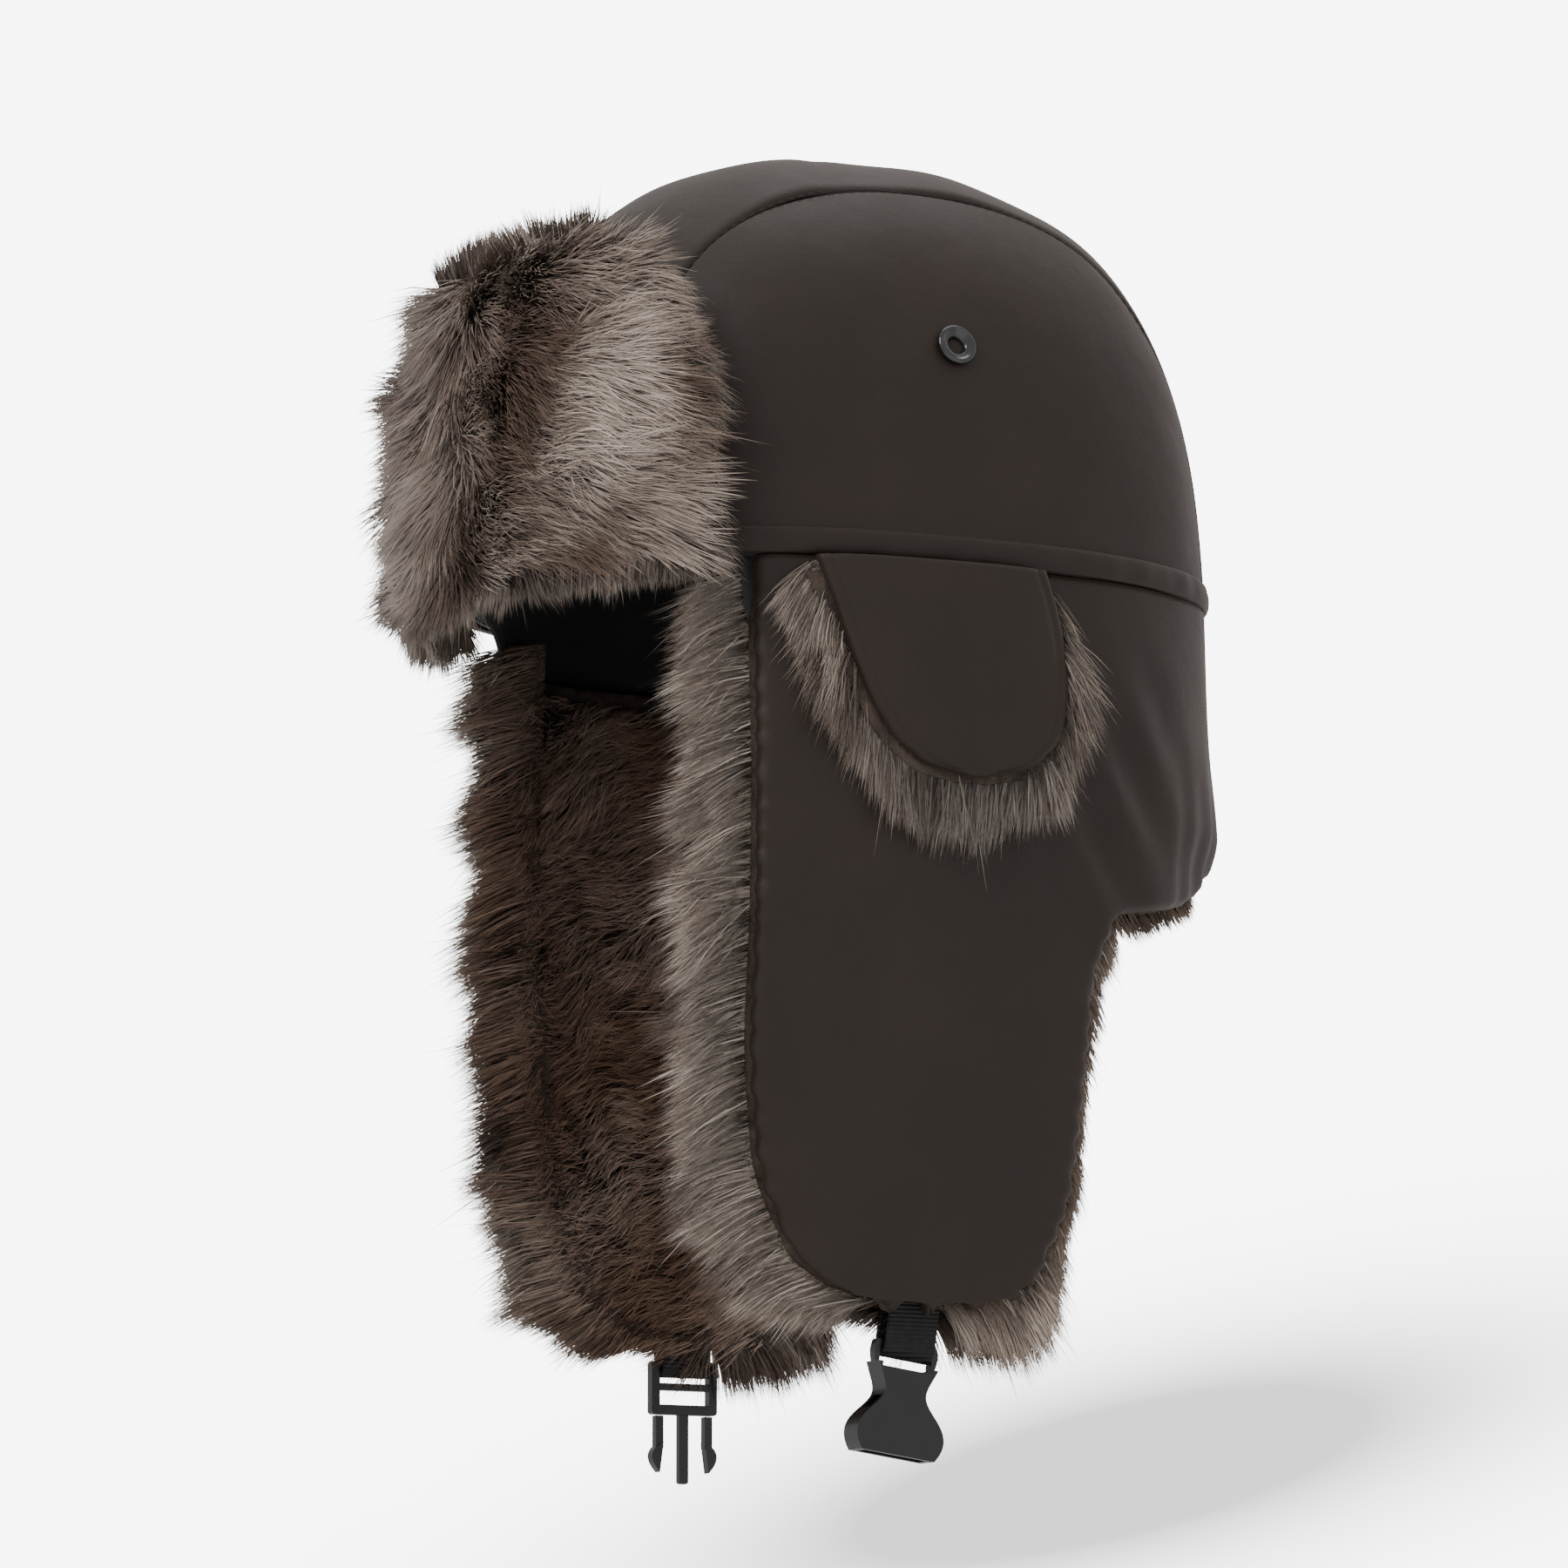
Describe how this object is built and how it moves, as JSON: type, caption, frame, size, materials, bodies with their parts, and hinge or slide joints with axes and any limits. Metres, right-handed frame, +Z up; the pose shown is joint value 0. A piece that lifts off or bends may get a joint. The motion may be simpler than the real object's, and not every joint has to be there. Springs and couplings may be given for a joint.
{
  "type": "trapper hat",
  "caption": "Padded trapper hat with a fold-down fur visor, fur-lined ear flaps and neck guard, ear covers and a side-release chin buckle.",
  "frame": {"origin": "middle of the head opening, level with the bottom of the band", "axes": "-Y to the wearer's front, +X to the wearer's left, +Z up"},
  "size_m": [0.2132, 0.2499, 0.3996],
  "materials": {
    "shell_fabric": "matte woven nylon",
    "fur": "long pile",
    "padding": "fibre fill",
    "lining": "quilted satin",
    "webbing": "ribbed webbing",
    "buckle_plastic": "moulded",
    "eyelet_metal": "gloss black"
  },
  "bodies": {
    "crown": {"crown_panel_left": "shell_fabric", "crown_panel_right": "shell_fabric", "crown_centre_strip": "shell_fabric", "crown_padding": "padding", "crown_lining": "lining", "sweatband": "lining", "band_roll": "shell_fabric", "eyelet_left": "eyelet_metal", "eyelet_right": "eyelet_metal", "eyelet_washer_left": "eyelet_metal", "eyelet_washer_right": "eyelet_metal", "visor_snap_stud_left": "eyelet_metal", "visor_snap_stud_right": "eyelet_metal", "skirt_shell": "shell_fabric", "skirt_padding": "padding", "skirt_fur": "fur", "neck_elastic": "webbing"},
    "visor": {"visor_shell": "shell_fabric", "visor_padding": "padding", "visor_fur": "fur", "visor_snap_socket_left": "eyelet_metal", "visor_snap_socket_right": "eyelet_metal"},
    "ear_flap_left": {"flap_shell_left": "shell_fabric", "flap_padding_left": "padding", "flap_fur_left": "fur"},
    "ear_flap_right": {"flap_shell_right": "shell_fabric", "flap_padding_right": "padding", "flap_fur_right": "fur"},
    "ear_cover_left": {"ear_cover_shell_left": "shell_fabric", "ear_cover_fur_left": "fur"},
    "ear_cover_right": {"ear_cover_shell_right": "shell_fabric", "ear_cover_fur_right": "fur"},
    "chin_strap_left": {"strap_left": "webbing", "buckle_socket": "buckle_plastic"},
    "chin_strap_right": {"strap_right": "webbing", "buckle_plug": "buckle_plastic"},
    "arm_front": {"buckle_arm_front": "buckle_plastic"},
    "arm_rear": {"buckle_arm_rear": "buckle_plastic"}
  },
  "joints": [
    {"name": "visor_fold", "type": "hinge", "parent": "crown", "child": "visor", "pos_m": [0, -0.1165, -0.006], "axis": [1, 0, 0], "range_deg": [0, 105]},
    {"name": "ear_flap_left_fold", "type": "hinge", "parent": "crown", "child": "ear_flap_left", "pos_m": [0.098, -0.012, -0.1], "axis": [0, -1, 0], "range_deg": [-12, 150]},
    {"name": "ear_cover_left_lift", "type": "hinge", "parent": "crown", "child": "ear_cover_left", "pos_m": [0.0995, -0.014, -0.001], "axis": [0, -1, 0], "range_deg": [0, 120]},
    {"name": "chin_strap_left_swing", "type": "hinge", "parent": "ear_flap_left", "child": "chin_strap_left", "pos_m": [0.0745, -0.012, -0.219], "axis": [0, -1, 0], "range_deg": [-28, 28]},
    {"name": "ear_flap_right_fold", "type": "hinge", "parent": "crown", "child": "ear_flap_right", "pos_m": [-0.098, -0.012, -0.1], "axis": [0, 1, 0], "range_deg": [-12, 150]},
    {"name": "ear_cover_right_lift", "type": "hinge", "parent": "crown", "child": "ear_cover_right", "pos_m": [-0.0995, -0.014, -0.001], "axis": [0, 1, 0], "range_deg": [0, 120]},
    {"name": "chin_strap_right_swing", "type": "hinge", "parent": "ear_flap_right", "child": "chin_strap_right", "pos_m": [-0.0745, -0.012, -0.219], "axis": [0, 1, 0], "range_deg": [-28, 28]},
    {"name": "buckle_arm_squeeze", "type": "hinge", "parent": "chin_strap_right", "child": "arm_front", "pos_m": [-0.0745, -0.0204, -0.2408], "axis": [1, 0, 0], "range_deg": [0, 8], "stiffness_Nm_per_rad": 0.02},
    {"name": "buckle_arm_rear_squeeze", "type": "hinge", "parent": "chin_strap_right", "child": "arm_rear", "pos_m": [-0.0745, -0.0036, -0.2408], "axis": [-1, 0, 0], "range_deg": [0, 8], "stiffness_Nm_per_rad": 0.02}
  ],
  "couplings": [
    {"joint": "buckle_arm_rear_squeeze", "follows": "buckle_arm_squeeze", "ratio": 1}
  ]
}
